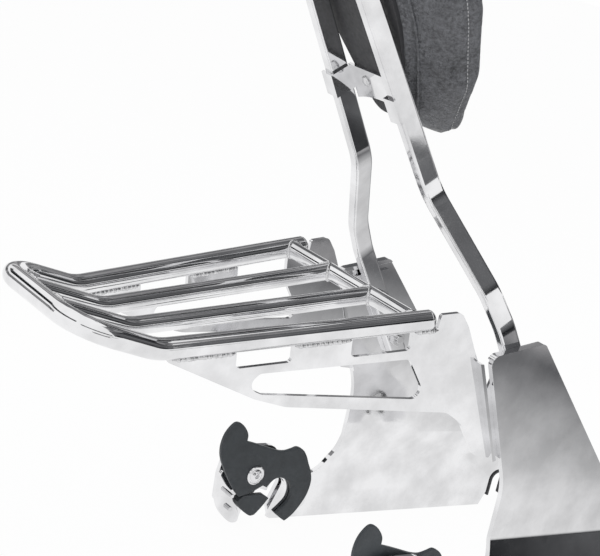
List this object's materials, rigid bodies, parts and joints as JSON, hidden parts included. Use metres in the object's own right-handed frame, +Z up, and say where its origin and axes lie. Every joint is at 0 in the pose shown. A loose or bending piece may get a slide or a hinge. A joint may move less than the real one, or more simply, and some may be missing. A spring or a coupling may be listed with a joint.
{
  "type": "motorcycle backrest with luggage rack",
  "caption": "Detachable motorcycle passenger backrest with a luggage rack: chromed side plates with rotary docking latches, a flat bar arch, a padded rest and a tubular rack.",
  "frame": {"origin": "on the rear docking axis, midway between the two side plates", "axes": "+X forward on the motorcycle along the lower edge of the side plates, +Y to its left, +Z up"},
  "size_m": [0.9065, 0.314, 0.8125],
  "materials": {
    "chrome": "polished",
    "hardware": "polished",
    "black_coat": "satin",
    "bush": "matte",
    "board": "matte",
    "vinyl": "grained"
  },
  "bodies": {
    "frame": {"sissy_bar": "chrome", "pad_cushion": "vinyl", "pad_board": "board", "pad_bracket": "chrome", "pad_screws": "hardware", "side_plate_right": "chrome", "side_plate_left": "chrome", "rack_hoop": "chrome", "rack_tube_right": "chrome", "rack_tube_left": "chrome", "rack_cross_tube": "chrome", "rack_cap_right": "chrome", "rack_cap_left": "chrome", "gusset_right": "chrome", "gusset_left": "chrome", "plate_studs_right": "hardware", "plate_studs_left": "hardware", "stud_washers_right": "hardware", "stud_washers_left": "hardware", "stud_nuts_right": "hardware", "stud_nuts_left": "hardware", "latch_housing_right": "chrome", "latch_housing_left": "chrome", "latch_cheek_right": "chrome", "latch_cheek_left": "chrome", "latch_jaw_right": "black_coat", "latch_jaw_left": "black_coat", "wave_washer_right": "hardware", "wave_washer_left": "hardware", "pivot_screw_right": "hardware", "pivot_screw_left": "hardware", "stop_pin_right": "hardware", "stop_pin_left": "hardware", "latch_rivets_right": "hardware", "latch_rivets_left": "hardware", "front_bush_right": "bush", "front_bush_left": "bush"},
    "lever_right": {"latch_lever_right": "black_coat"},
    "lever_left": {"latch_lever_left": "black_coat"}
  },
  "joints": [
    {"name": "latch_right", "type": "hinge", "parent": "frame", "child": "lever_right", "pos_m": [-0.04, -0.13325, 0.019], "axis": [0, 1, 0], "range_deg": [0, 10]},
    {"name": "latch_left", "type": "hinge", "parent": "frame", "child": "lever_left", "pos_m": [-0.04, 0.13325, 0.019], "axis": [0, 1, 0], "range_deg": [0, 10]}
  ]
}
